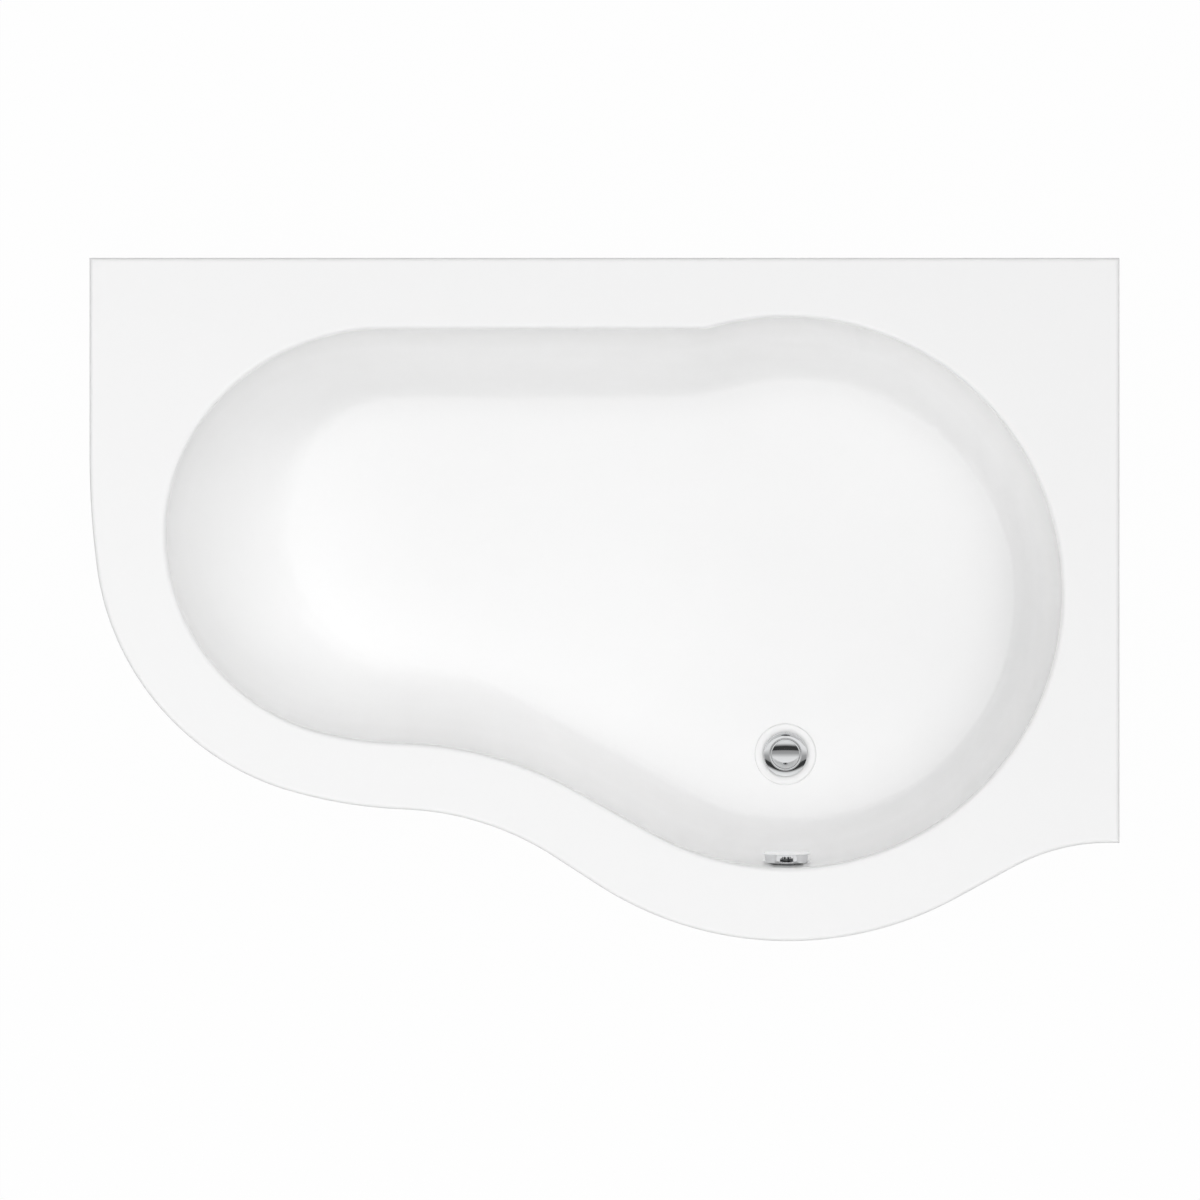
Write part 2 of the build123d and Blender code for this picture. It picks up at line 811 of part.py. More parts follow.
def waste_side(toward, height, out):
    """Plane beside the waste axis, facing away from it along a horizontal direction"""
    origin = Vector(waste_x, waste_y, recess_floor + height) + out * Vector(*toward)
    return Plane(origin, x_dir=(-toward[1], toward[0], 0), z_dir=toward)


front_side = (0, -1, 0)
lever_side = (1, 0, 0)
with BuildPart() as waste_body:
    outside = [
        (0, cup_top),
        (cup_flange_radius, cup_top),
        (cup_flange_radius, cup_top - cup_flange),
        (cup_radius, cup_top - cup_flange),
        (cup_radius, cup_low + cup_wall),
        (outlet_radius, cup_low - cup_wall / 2),
        (outlet_radius, cup_low - cup_outlet_length),
        (0, cup_low - cup_outlet_length),
    ]
    add(spun(outside, waste_plane(0)))
    with BuildSketch(waste_side(front_side, inlet_height, 0)):
        Circle(inlet_collar_radius)
    extrude(amount=cup_radius + inlet_collar_length)
    with BuildSketch(waste_side(front_side, inlet_height, 0)):
        Circle(spigot_radius)
    extrude(amount=cup_radius + inlet_collar_length + spigot_length)
    with BuildSketch(waste_side(lever_side, lever_height, lever_offset / 2)):
        with Locations((lever_offset, 0)):
            Circle(lever_hub_radius + slip)
    extrude(amount=cup_radius - lever_offset / 2)
    with BuildSketch(Plane.XY.offset(recess_floor + pin_height - lug_length)):
        with Locations((waste_x + wire_x / 2 + lug_length / 2, waste_y - lug_offset - lug_length / 2)):
            Rectangle(wire_x + lug_length, lug_length)
    extrude(amount=lug_length * 2)
    inside = [
        (0, cup_top),
        (cup_inside, cup_top),
        (cup_inside, cup_low + cup_wall),
        (cup_outlet_radius, cup_low),
        (cup_outlet_radius, cup_low - cup_outlet_length),
        (0, cup_low - cup_outlet_length),
    ]
    add(spun(inside, waste_plane(0)), mode=Mode.SUBTRACT)
    with BuildSketch(waste_side(front_side, inlet_height, 0)):
        Circle(spigot_bore)
    extrude(amount=cup_radius + inlet_collar_length + spigot_length, mode=Mode.SUBTRACT)
    with BuildSketch(waste_side(lever_side, lever_height, 0)):
        with Locations((lever_offset, 0)):
            Circle(lever_shaft_radius + running)
    extrude(amount=cup_radius * 2, mode=Mode.SUBTRACT)
    with BuildSketch(waste_side(front_side, pin_height, lug_offset)):
        with Locations((wire_x, 0)):
            Circle(wire_radius + clear)
    extrude(amount=lug_length, mode=Mode.SUBTRACT)
    with BuildSketch(waste_side(front_side, pin_height, lug_offset + lug_length - cable_seat)):
        with Locations((wire_x, 0)):
            Circle(cable_radius + slip)
    extrude(amount=cable_seat, mode=Mode.SUBTRACT)
save(waste_body.part, "waste_body")

# Lever: shaft through the boss, lifting arm inside and slotted crank outside
with BuildPart() as lift_lever:
    with BuildSketch(waste_side(lever_side, lever_height, -lever_width / 2)):
        with Locations((lever_offset, 0)):
            Circle(lever_shaft_radius)
    extrude(amount=lever_width / 2 + crank_x + crank_thickness)
    with BuildSketch(waste_side(lever_side, lever_height, -lever_width / 2)):
        with Locations((lever_offset, 0)):
            Circle(lever_hub_radius)
        with Locations(((lever_offset - lever_reach) / 2, 0)):
            Rectangle(lever_offset + lever_reach, lever_thickness)
    extrude(amount=lever_width)
    with BuildSketch(waste_side(lever_side, lever_height, crank_x)):
        with Locations((lever_offset, 0)):
            Circle(crank_width / 2)
        with Locations((lever_offset, -(crank_pin_drop + crank_tip) / 2)):
            Rectangle(crank_width, crank_pin_drop + crank_tip)
        with Locations((lever_offset, -crank_pin_drop - crank_tip / 2)):
            Rectangle(crank_slot, crank_pin_drop, mode=Mode.SUBTRACT)
    extrude(amount=crank_thickness)
save(lift_lever.part, "lift_lever")

# Wire end with the cross pin that runs in the crank's slot
wire_start = lug_offset + lug_length + plug_lift
with BuildPart() as cable_wire_end:
    with BuildSketch(waste_side(front_side, pin_height, -lever_offset - 2 * wire_pin_radius)):
        with Locations((wire_x, 0)):
            Circle(wire_radius)
    extrude(amount=lever_offset + 2 * wire_pin_radius + wire_start)
    with BuildSketch(waste_side(lever_side, pin_height, crank_x - lever_gap)):
        with Locations((lever_offset, 0)):
            Circle(wire_pin_radius)
    extrude(amount=crank_thickness + wire_beyond_crank + lever_gap + wire_radius)
save(cable_wire_end.part, "cable_wire_end")

# Overflow elbow behind the front wall
elbow_front = -skin_outside - clear - gasket_thickness
elbow_inside = overflow_tail_radius + slip
elbow_radius = elbow_inside + elbow_wall
drain = overflow_plane(elbow_front - elbow_drain).origin
hose_top = drain.Z - elbow_radius - inlet_collar_length
with BuildPart() as overflow_body:
    add(disc(overflow_plane(elbow_front), gasket_radius, -elbow_flange))
    add(disc(overflow_plane(elbow_front), elbow_radius, -elbow_depth))
    with BuildSketch(Plane((drain.X, drain.Y, hose_top), z_dir=(0, 0, 1))):
        Circle(inlet_collar_radius)
    extrude(amount=elbow_radius)
    with BuildSketch(Plane((drain.X, drain.Y, hose_top - spigot_length), z_dir=(0, 0, 1))):
        Circle(spigot_radius)
    extrude(amount=spigot_length)
    with BuildSketch(Plane((drain.X, drain.Y, hose_top), z_dir=(0, 0, 1))):
        with Locations(((wire_x + lug_length) / 2, 0)):
            Rectangle(wire_x + lug_length, 2 * lug_length)
    extrude(amount=elbow_radius)
    add(disc(overflow_plane(elbow_front), elbow_inside, elbow_wall - elbow_depth), mode=Mode.SUBTRACT)
    with BuildSketch(Plane((drain.X, drain.Y, hose_top - spigot_length), z_dir=(0, 0, 1))):
        Circle(spigot_bore)
    extrude(amount=spigot_length + elbow_radius, mode=Mode.SUBTRACT)
    with BuildSketch(Plane((drain.X + wire_x, drain.Y, hose_top), z_dir=(0, 0, 1))):
        Circle(cable_radius + slip)
    extrude(amount=cable_seat, mode=Mode.SUBTRACT)
save(overflow_body.part, "overflow_body")
gasket_plane = overflow_plane(elbow_front)
save(disc(gasket_plane, gasket_radius, gasket_thickness, overflow_hole_radius), "overflow_gasket")

# Overflow bush: threaded ring through the wall with a bearing for the spindle
bush_inside = overflow_tail_radius - overflow_tail_wall
with BuildPart() as overflow_bush:
    add(disc(overflow_plane(overflow_seat), overflow_flange_radius, overflow_flange, bush_inside))
    add(disc(overflow_plane(overflow_seat), overflow_tail_radius, -overflow_tail_length, bush_inside))
    with BuildSketch(overflow_plane(-spider_height)):
        with PolarLocations(bush_inside / 2, spider_arms, start_angle=90):
            Rectangle(bush_inside + overflow_tail_wall, spider_arm)
        Circle(hub_radius)
        Circle(spindle_radius + running, mode=Mode.SUBTRACT)
    extrude(amount=-spider_height)
save(overflow_bush.part, "overflow_bush")

# Knob: hollow drum with windows in its rim, and a hub on the spindle
knob_front = knob_gap + knob_length
with BuildPart() as overflow_knob:
    add(disc(overflow_plane(knob_gap), knob_radius, knob_length))
    fillet(overflow_knob.faces().sort_by(Axis.Y)[-1].edges(), radius=knob_wall / 3)
    add(disc(overflow_plane(knob_gap), knob_radius - knob_wall, knob_length - knob_face), mode=Mode.SUBTRACT)
    with BuildSketch(overflow_plane(knob_gap + knob_back_ring)):
        with PolarLocations(knob_radius, knob_window_count, start_angle=90):
            Rectangle(knob_wall * 3, knob_window)
    extrude(amount=knob_length - knob_face - knob_back_ring, mode=Mode.SUBTRACT)
    add(disc(overflow_plane(knob_gap), knob_hub_radius, knob_length - knob_face))
    bore = overflow_plane(knob_front - knob_face)
    add(disc(bore, spindle_radius + slip, knob_face - knob_length), mode=Mode.SUBTRACT)
save(overflow_knob.part, "overflow_knob")

# Spindle from the knob to the cam that pulls the wire
cam_back = elbow_front - elbow_drain - cam_thickness / 2
cam_plane = overflow_plane(cam_back)
with BuildPart() as knob_spindle:
    add(disc(cam_plane, spindle_radius, knob_front - knob_face - slip - cam_back))
    with BuildSketch(cam_plane):
        with Locations((0, spindle_radius)):
            Circle(cam_radius)
    extrude(amount=cam_thickness)
save(knob_spindle.part, "knob_spindle")


def bend_path(points):
    """Straight runs joined by arcs as large as the shorter run allows at a square corner"""
    runs = [(Vector(b) - Vector(a)).length for a, b in zip(points, points[1:])]
    radii = [bend_share * min(pair) for pair in zip(runs, runs[1:])]
    print("bend radii", [round(radius, 1) for radius in radii])
    with BuildLine() as line:
        FilletPolyline(*points, radius=radii)
    return line.line


def tube(points, radius, bore):
    """Tube along straight runs and arcs"""
    path = bend_path(points)
    with BuildPart() as piece:
        with BuildSketch(Plane(path @ 0, z_dir=path % 0)):
            Circle(radius)
            Circle(bore, mode=Mode.SUBTRACT)
        sweep(path=path)
    return piece.part


# Hose from the elbow down and round to the waste cup, and its clamping nuts
inlet_z = recess_floor + inlet_height
collar_y = waste_y - cup_radius - inlet_collar_length
hose_route = [(waste_x, collar_y, inlet_z), (waste_x, drain.Y, inlet_z), (waste_x, drain.Y, hose_top)]
save(tube(hose_route, hose_radius, hose_bore), "overflow_hose")
with BuildPart() as hose_nuts:
    for end, toward in ((hose_route[0], (0, -1, 0)), (hose_route[-1], (0, 0, -1))):
        start = Plane(end, z_dir=toward).offset(clear)
        add(disc(start, hose_nut_radius, hose_nut_length, hose_radius + slip))
save(hose_nuts.part, "hose_nuts")

# Cable sheath beside the hose, and the clips that hold it
pin_z = recess_floor + pin_height
sheath_y = waste_y - lug_offset - lug_length + cable_seat
cable_route = [
    (waste_x + wire_x, sheath_y, pin_z),
    (waste_x + wire_x, drain.Y, pin_z),
    (waste_x + wire_x, drain.Y, hose_top + cable_seat),
]
save(tube(cable_route, cable_radius, cable_bore), "pop_up_cable")
with BuildPart() as cable_clips:
    for height in clip_heights:
        with BuildSketch(Plane((waste_x, drain.Y, height), z_dir=(0, 0, 1))):
            Circle(hose_radius + slip + clip_wall)
            with Locations((wire_x, 0)):
                Circle(cable_radius + slip + clip_wall)
            with Locations(((hose_radius + wire_x - cable_radius) / 2, 0)):
                Rectangle(wire_x - cable_radius - hose_radius - slip, 2 * clip_wall)
            Circle(hose_radius + slip, mode=Mode.SUBTRACT)
            with Locations((wire_x, 0)):
                Circle(cable_radius + slip, mode=Mode.SUBTRACT)
        extrude(amount=clip_height)
save(cable_clips.part, "cable_clips")

# Trap: socket under the cup, water seal bend, riser with access cap and branch to the drain
cup_bottom = recess_floor + cup_low - cup_outlet_length
socket_floor = cup_bottom - trap_washer_thickness
socket_inside = outlet_radius + pipe_clearance
socket_radius = socket_inside + trap_socket_wall
riser_x = waste_x - 2 * trap_bend_radius - trap_wall
riser_top = trap_weir + trap_tube_radius + cap_height - nut_lip
trap_route = [
    (waste_x, waste_y, socket_floor),
    (waste_x, waste_y, trap_low),
    (riser_x, waste_y, trap_low),
    (riser_x, waste_y, riser_top),
]
trap_bore = trap_tube_radius - trap_wall
with BuildLine() as trap_line:
    FilletPolyline(*trap_route, radius=trap_bend_radius)
branch = Plane((riser_x, waste_y, trap_weir), z_dir=(0, 1, 0))
socket_start = trap_branch_length - outlet_socket_depth
pipe_inside = trap_tube_radius + pipe_clearance
pipe_socket_radius = pipe_inside + trap_socket_wall
with BuildPart() as trap_body:
    with BuildSketch(Plane(trap_route[0], z_dir=(0, 0, -1))):
        Circle(trap_tube_radius)
    sweep(path=trap_line.line)
    socket_base = Plane((waste_x, waste_y, socket_floor - trap_wall))
    add(disc(socket_base, socket_radius, trap_socket_depth + trap_wall))
    add(disc(branch, trap_tube_radius, socket_start))
    add(disc(branch.offset(socket_start - trap_wall), pipe_socket_radius, outlet_socket_depth + trap_wall))
    with BuildSketch(Plane(trap_route[0], z_dir=(0, 0, -1))):
        Circle(trap_bore)
    sweep(path=trap_line.line, mode=Mode.SUBTRACT)
    add(disc(Plane((waste_x, waste_y, socket_floor)), socket_inside, trap_socket_depth), mode=Mode.SUBTRACT)
    add(disc(branch, trap_bore, trap_branch_length), mode=Mode.SUBTRACT)
    add(disc(branch.offset(socket_start), pipe_inside, outlet_socket_depth), mode=Mode.SUBTRACT)
save(trap_body.part, "trap_body")
washer_plane = Plane((waste_x, waste_y, socket_floor))
save(disc(washer_plane, outlet_radius, trap_washer_thickness, cup_outlet_radius), "trap_washer")


def ribbed_nut(plane, inside, lip_inside, length):
    """Hand-tightened nut: a ribbed sleeve whose lip is at its far end"""
    outside = inside + nut_wall
    with BuildPart() as nut:
        with BuildSketch(plane):
            Circle(outside)
            with PolarLocations(outside, nut_ribs):
                Circle(nut_rib_radius)
        extrude(amount=length)
        with BuildSketch(plane):
            Circle(inside)
        extrude(amount=length - nut_lip, mode=Mode.SUBTRACT)
        if lip_inside:
            with BuildSketch(plane):
                Circle(lip_inside)
            extrude(amount=length, mode=Mode.SUBTRACT)
    return nut.part


socket_top = socket_floor + trap_socket_depth
trap_nut_plane = Plane((waste_x, waste_y, socket_top + clear + nut_lip - nut_length))
save(ribbed_nut(trap_nut_plane, socket_radius + slip, outlet_radius + slip, nut_length), "trap_nut")
washer_start = branch.offset(trap_branch_length)
outlet_nut_start = trap_branch_length + trap_washer_thickness + nut_lip - nut_length
save(disc(washer_start, pipe_socket_radius, trap_washer_thickness, pipe_inside), "outlet_washer")
outlet_nut = ribbed_nut(branch.offset(outlet_nut_start), pipe_socket_radius + slip, pipe_inside, nut_length)
save(outlet_nut, "outlet_nut")
cap_plane = Plane((riser_x, waste_y, riser_top + clear + nut_lip - cap_height))
save(ribbed_nut(cap_plane, trap_tube_radius + slip, 0, cap_height), "trap_cap")

# Front panel: one curved sheet from the back wall round to the side wall
panel_inside = panel_setback + panel_thickness
panel_height = rim_underside - panel_top_gap - panel_foot
with BuildPart() as panel_core:
    with BuildSketch(Plane.XY):
        make_face(rim_line(panel_inside + clear))
    extrude(amount=rim_height)


def panel_place(share):
    """Plane on the inside of the panel, a share of the way along its curved front, with Z up
    and X along the panel"""
    front = Wire(rim_line(panel_inside + clear)[:8])
    return Plane(front @ share, x_dir=front % share, z_dir=(0, 0, 1))


def panel_blocks(places, low, height):
    """Timber blocks shaped to the inside of the panel"""
    with BuildPart() as blocks:
        for share in places:
            with BuildSketch(panel_place(share).offset(low)):
                with Locations((0, block_depth / 2)):
                    Rectangle(block_length, block_depth + 2 * panel_inside)
            extrude(amount=height)
        add(panel_core.part, mode=Mode.INTERSECT)
    return blocks


def screw_planes():
    """Planes on the outside of the panel at each panel screw, facing out"""
    front_length = Wire(rim_line(panel_inside + clear)[:8]).length
    planes = []
    for share in floor_block_places:
        for side in (-0.5, 0.5):
            place = panel_place(share + side * panel_screw_spacing / front_length)
            spot = place.from_local_coords((0, -panel_thickness - clear, panel_screw_height))
            planes.append(Plane(spot, x_dir=place.x_dir, z_dir=-place.y_dir))
    return planes


with BuildPart() as front_panel:
    with BuildSketch(Plane.XY.offset(panel_foot)):
        make_face(rim_line(panel_setback))
        make_face(rim_line(panel_inside), mode=Mode.SUBTRACT)
    extrude(amount=panel_height)
    with BuildSketch(Plane.XY.offset(panel_foot)):
        with Locations((0, half_width)):
            Rectangle(bath_length, 2 * panel_inside)
        with Locations((half_length, 0)):
            Rectangle(2 * panel_inside, bath_width)
    extrude(amount=panel_height, mode=Mode.SUBTRACT)
    for plane in screw_planes():
        through = disc(plane.offset(-2 * panel_inside), panel_screw_radius + clear, 3 * panel_inside)
        add(through, mode=Mode.SUBTRACT)
save(front_panel.part, "front_panel")

panel_top_blocks = panel_blocks(top_block_places, lip_bottom, lip_depth - sheet)
save(panel_top_blocks.part, "panel_top_blocks")
panel_floor_blocks = panel_blocks(floor_block_places, 0, floor_block_height)
with BuildPart() as drilled_blocks:
    add(panel_floor_blocks.part)
    for plane in screw_planes():
        add(disc(plane, panel_screw_radius + running, -panel_screw_depth), mode=Mode.SUBTRACT)
save(drilled_blocks.part, "panel_floor_blocks")

# Panel screws and their push-on caps
with BuildPart() as panel_screws:
    for plane in screw_planes():
        head = (panel_screw_head, clear + panel_screw_radius), (panel_screw_head, clear)
        tip = slip - panel_screw_depth
        shank = (panel_screw_radius, clear), (panel_screw_radius, tip + panel_screw_radius), (0, tip)
        add(spun([(0, clear + panel_screw_radius), *head, *shank], plane))
save(panel_screws.part, "panel_screws")
with BuildPart() as panel_screw_caps:
    for plane in screw_planes():
        inner_radius = panel_screw_head + slip
        inner_top = clear + panel_screw_radius + slip
        inside = (screw_cap_radius, clear), (inner_radius, clear), (inner_radius, inner_top), (0, inner_top)
        dome = (0, screw_cap_rise), (screw_cap_brow, screw_cap_brow_rise), (screw_cap_radius, screw_cap_edge)
        add(spun([*inside, *dome], plane))
save(panel_screw_caps.part, "panel_screw_caps")
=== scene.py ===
# %% [markdown]
# # A corner bathtub, dressed for the camera
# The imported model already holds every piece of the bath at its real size. This file gives each
# piece its finish, and rebuilds the ones whose surface matters most with finer meshes: the acrylic
# shell and the chrome plug.

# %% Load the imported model
import json
import math

import bmesh
import bpy
from mathutils import Matrix, Vector


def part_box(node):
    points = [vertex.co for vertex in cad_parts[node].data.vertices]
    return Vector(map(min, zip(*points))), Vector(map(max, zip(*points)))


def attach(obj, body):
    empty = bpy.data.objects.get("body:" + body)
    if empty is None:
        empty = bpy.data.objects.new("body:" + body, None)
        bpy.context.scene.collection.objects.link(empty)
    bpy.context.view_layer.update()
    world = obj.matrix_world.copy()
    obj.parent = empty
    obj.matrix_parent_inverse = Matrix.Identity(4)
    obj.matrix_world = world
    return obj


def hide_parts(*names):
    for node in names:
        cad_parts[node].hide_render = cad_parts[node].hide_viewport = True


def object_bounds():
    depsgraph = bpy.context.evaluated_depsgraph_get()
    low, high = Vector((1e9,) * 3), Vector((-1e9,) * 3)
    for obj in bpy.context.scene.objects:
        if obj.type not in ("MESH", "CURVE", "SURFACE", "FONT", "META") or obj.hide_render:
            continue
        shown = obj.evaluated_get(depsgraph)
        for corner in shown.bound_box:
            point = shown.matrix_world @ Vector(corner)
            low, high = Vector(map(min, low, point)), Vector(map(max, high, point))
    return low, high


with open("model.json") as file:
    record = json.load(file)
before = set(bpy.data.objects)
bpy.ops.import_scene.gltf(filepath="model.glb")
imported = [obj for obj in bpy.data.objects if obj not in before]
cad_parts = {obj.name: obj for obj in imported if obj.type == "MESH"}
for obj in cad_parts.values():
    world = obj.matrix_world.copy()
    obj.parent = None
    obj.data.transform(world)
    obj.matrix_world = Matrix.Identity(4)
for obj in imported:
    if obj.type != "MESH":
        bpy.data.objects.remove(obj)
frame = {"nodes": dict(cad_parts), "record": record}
nodes = frame["nodes"]
cad_low, cad_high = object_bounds()
print("the bath measures", [round(high - low, 3) for low, high in zip(cad_low, cad_high)], "m")

# %% [markdown]
# ## Camera
# The bath was pictured from straight above with a very long lens, so its walls hardly lean. A
# camera 60 m over the rim with a matching focal length gives the same flat look. The sensor width
# covers the longer side of any frame.

# %% Camera straight above
rim_height = cad_high.z
frame_width = 1.7478
camera_distance = 60.0
frame_centre = (-0.00655, -0.00073)
camera_data = bpy.data.cameras.new("camera")
camera_data.sensor_width = 36.0
camera_data.lens = camera_data.sensor_width * camera_distance / frame_width
camera_data.clip_end = 150.0
camera = bpy.data.objects.new("camera", camera_data)
camera.location = (*frame_centre, rim_height + camera_distance)
bpy.context.scene.collection.objects.link(camera)
bpy.context.scene.camera = camera
bpy.context.scene.view_settings.view_transform = "Standard"
print("lens", round(camera_data.lens), "mm")


# %% [markdown]
# ## Wiring nodes
# Every finish below is a small tree of nodes. A few helpers keep the wiring short: one adds a node
# and fills or links its inputs, one makes a colour ramp, one mixes two colours, and one starts a
# material and sets its constant values straight on the shader.

# %% Helpers for node trees
def put(tree, kind, inputs=None, **settings):
    """Add a node; inputs holds a value or an output socket for each input name or index"""
    node = tree.nodes.new(kind)
    for name, value in settings.items():
        setattr(node, name, value)
    for key, value in (inputs or {}).items():
        if isinstance(value, bpy.types.NodeSocket):
            tree.links.new(value, node.inputs[key])
        else:
            node.inputs[key].default_value = value
    return node


def ramp(tree, factor, stops):
    """Colour ramp of greys given as (position, value)"""
    node = put(tree, "ShaderNodeValToRGB", {"Fac": factor})
    elements = node.color_ramp.elements
    while len(elements) < len(stops):
        elements.new(0.5)
    for element, (position, value) in zip(elements, stops):
        element.position = position
        element.color = (value, value, value, 1)
    return node.outputs["Color"]


def blend(tree, factor, first, second):
    """Mix of two colours"""
    return put(tree, "ShaderNodeMix", {0: factor, 6: first, 7: second}, data_type="RGBA").outputs[2]


def finish(name, **constants):
    """Start a material; constants go to the shader's own sockets"""
    made = bpy.data.materials.new(name)
    made.use_nodes = True
    shader = made.node_tree.nodes["Principled BSDF"]
    for key, value in constants.items():
        shader.inputs[key.replace("_", " ").title().replace("Ior", "IOR")].default_value = value
    place = put(made.node_tree, "ShaderNodeTexCoord").outputs["Object"]
    return made, made.node_tree, shader, place


# %% [markdown]
# ## Studio light
# Wide soft lamps high over the bath light its walls from different sides, each a little stronger
# or weaker, so that the curved walls turn from pale grey to white. Polished metal needs something
# to mirror, so the surround also holds a dark strip just behind the camera, like the gap between
# two ceiling lights: it draws the dark band across the plug.

# %% Surround
world = bpy.data.worlds.new("surround")
world.use_nodes = True
bpy.context.scene.world = world
sky = world.node_tree
sky.nodes.clear()
direction = put(sky, "ShaderNodeTexCoord").outputs["Generated"]
along = put(sky, "ShaderNodeSeparateXYZ", {"Vector": direction})
tilt = put(sky, "ShaderNodeMath", {0: along.outputs["Y"], 1: along.outputs["Z"]}, operation="ARCTAN2")
share = put(
    sky,
    "ShaderNodeMapRange",
    {"Value": tilt.outputs[0], "From Min": -math.pi / 2, "From Max": math.pi / 2},
)


def tilt_stop(degrees):
    """Place on the ramp for a tilt from straight up towards the back wall"""
    return (degrees + 90) / 180


studio = ramp(
    sky,
    share.outputs[0],
    [
        (tilt_stop(-90), 0.95),
        (tilt_stop(-30), 0.92),
        (tilt_stop(-8), 0.8),
        (tilt_stop(2), 0.36),
        (tilt_stop(9), 0.3),
        (tilt_stop(10.5), 0.045),
        (tilt_stop(20), 0.04),
        (tilt_stop(27), 0.75),
        (tilt_stop(40), 0.92),
        (tilt_stop(90), 0.95),
    ],
)
surround_level = 0.0
light_path = put(sky, "ShaderNodeLightPath")
for_mirrors = put(sky, "ShaderNodeBackground", {"Color": studio, "Strength": 1.0})
for_light = put(sky, "ShaderNodeBackground", {"Color": (1, 1, 1, 1), "Strength": surround_level})
for_camera = put(sky, "ShaderNodeBackground", {"Color": (1, 1, 1, 1), "Strength": 1.0})
glossy_ray = light_path.outputs["Is Glossy Ray"]
camera_ray = light_path.outputs["Is Camera Ray"]
lit = put(sky, "ShaderNodeMixShader", {0: glossy_ray, 1: for_light.outputs[0], 2: for_mirrors.outputs[0]})
seen = put(sky, "ShaderNodeMixShader", {0: camera_ray, 1: lit.outputs[0], 2: for_camera.outputs[0]})
put(sky, "ShaderNodeOutputWorld", {"Surface": seen.outputs[0]})
print("surround", surround_level)

# %% Lamps: name, strength, compass angle from +X, tilt from straight up, softness
suns = (
    ("overhead", 1.2, 0, 0, 40),
    ("high_right", 0.19, 0, 38, 40),
    ("high_back_right", 0.55, 60, 38, 40),
    ("high_back_left", 0.19, 120, 38, 40),
    ("high_front_left", 0.05, 240, 38, 40),
    ("high_front_right", 0.13, 300, 38, 40),
    ("side_right", 0.38, 0, 60, 30),
    ("side_back_left", 0.08, 120, 60, 30),
    ("side_left", 0.29, 180, 60, 30),
    ("side_front_left", 0.5, 240, 60, 30),
    ("side_front_right", 0.12, 300, 60, 30),
)
for name, strength, compass, lean, softness in suns:
    lamp_data = bpy.data.lights.new(name, "SUN")
    lamp_data.energy = strength
    lamp_data.angle = math.radians(softness)
    lamp = bpy.data.objects.new(name, lamp_data)
    lamp.rotation_euler = (0, math.radians(lean), math.radians(compass))
    lamp.visible_glossy = False
    bpy.context.scene.collection.objects.link(lamp)
    print(name, strength)

# %% Soft boxes: name, watts, place
boxes = (
    ("left_box", 4.8, (-2.2, -0.3, 2.4)),
    ("front_box", 6.1, (0.0, -2.2, 2.4)),
)
for name, watts, place in boxes:
    box_data = bpy.data.lights.new(name, "AREA")
    box_data.energy = watts
    box_data.size = 1.4
    box = bpy.data.objects.new(name, box_data)
    box.location = place
    aim = Vector((0, 0, rim_height)) - Vector(place)
    box.rotation_euler = aim.to_track_quat("-Z", "Y").to_euler()
    box.visible_glossy = False
    bpy.context.scene.collection.objects.link(box)
    print(name, watts)

# %% [markdown]
# ## Floor
# The bath stands on a plain white floor. It glows at full white to the camera, with a share of
# ordinary matt floor mixed in, so that the shadow under the bath still shows.

# %% White floor
floor_reach = 60
floor_gap = 0.0005
shadow_share = 0.02
floor_mesh = bpy.data.meshes.new("floor")
shape = bmesh.new()
bmesh.ops.create_grid(shape, x_segments=1, y_segments=1, size=floor_reach)
shape.to_mesh(floor_mesh)
shape.free()
floor = bpy.data.objects.new("floor", floor_mesh)
floor.location.z = -floor_gap
bpy.context.scene.collection.objects.link(floor)
white_floor = bpy.data.materials.new("white_floor")
white_floor.use_nodes = True
tree = white_floor.node_tree
tree.nodes.clear()
matt = put(tree, "ShaderNodeBsdfDiffuse", {"Color": (0.6, 0.6, 0.6, 1)})
glow = put(tree, "ShaderNodeEmission", {"Color": (1, 1, 1, 1), "Strength": 1.0})
seen_directly = put(tree, "ShaderNodeLightPath").outputs["Is Camera Ray"]
whiteness = put(tree, "ShaderNodeMath", {0: seen_directly, 1: 1 - shadow_share}, operation="MULTIPLY")
mixed = put(tree, "ShaderNodeMixShader", {0: whiteness.outputs[0], 1: matt.outputs[0], 2: glow.outputs[0]})
put(tree, "ShaderNodeOutputMaterial", {"Surface": mixed.outputs[0]})
floor_mesh.materials.append(white_floor)
print("floor", 2 * floor_reach, "m wide")


# %% [markdown]
# ## Shared effects
# Several materials need the same kind of unevenness: a fine grain in moulded plastic, patches in
# zinc and chipboard, strands in glassfibre, streaks in timber, turns on a thread. Each effect is
# one node group with its own scale and colours as inputs, so every material that uses it stays
# short.

# %% Effects as node groups
def effect(name, inputs, outputs):
    """Start a node group; returns it with the sockets that it is given and that it fills"""
    group = bpy.data.node_groups.new(name, "ShaderNodeTree")
    for label, kind in inputs:
        group.interface.new_socket(name=label, in_out="INPUT", socket_type=kind)
    for label, kind in outputs:
        group.interface.new_socket(name=label, in_out="OUTPUT", socket_type=kind)
    given = group.nodes.new("NodeGroupInput").outputs
    filled = group.nodes.new("NodeGroupOutput").inputs
    return group, given, filled


place_socket = ("Place", "NodeSocketVector")
scale_socket = ("Scale", "NodeSocketFloat")
colour_sockets = [("Dark", "NodeSocketColor"), ("Light", "NodeSocketColor")]
surface_sockets = [("Color", "NodeSocketColor"), ("Height", "NodeSocketFloat")]

grain, given, filled = effect("grain", [place_socket, scale_socket, *colour_sockets], surface_sockets)
noise = put(grain, "ShaderNodeTexNoise", {"Vector": given["Place"], "Scale": given["Scale"], "Detail": 4.0})
grain.links.new(blend(grain, noise.outputs[0], given["Dark"], given["Light"]), filled["Color"])
grain.links.new(noise.outputs[0], filled["Height"])

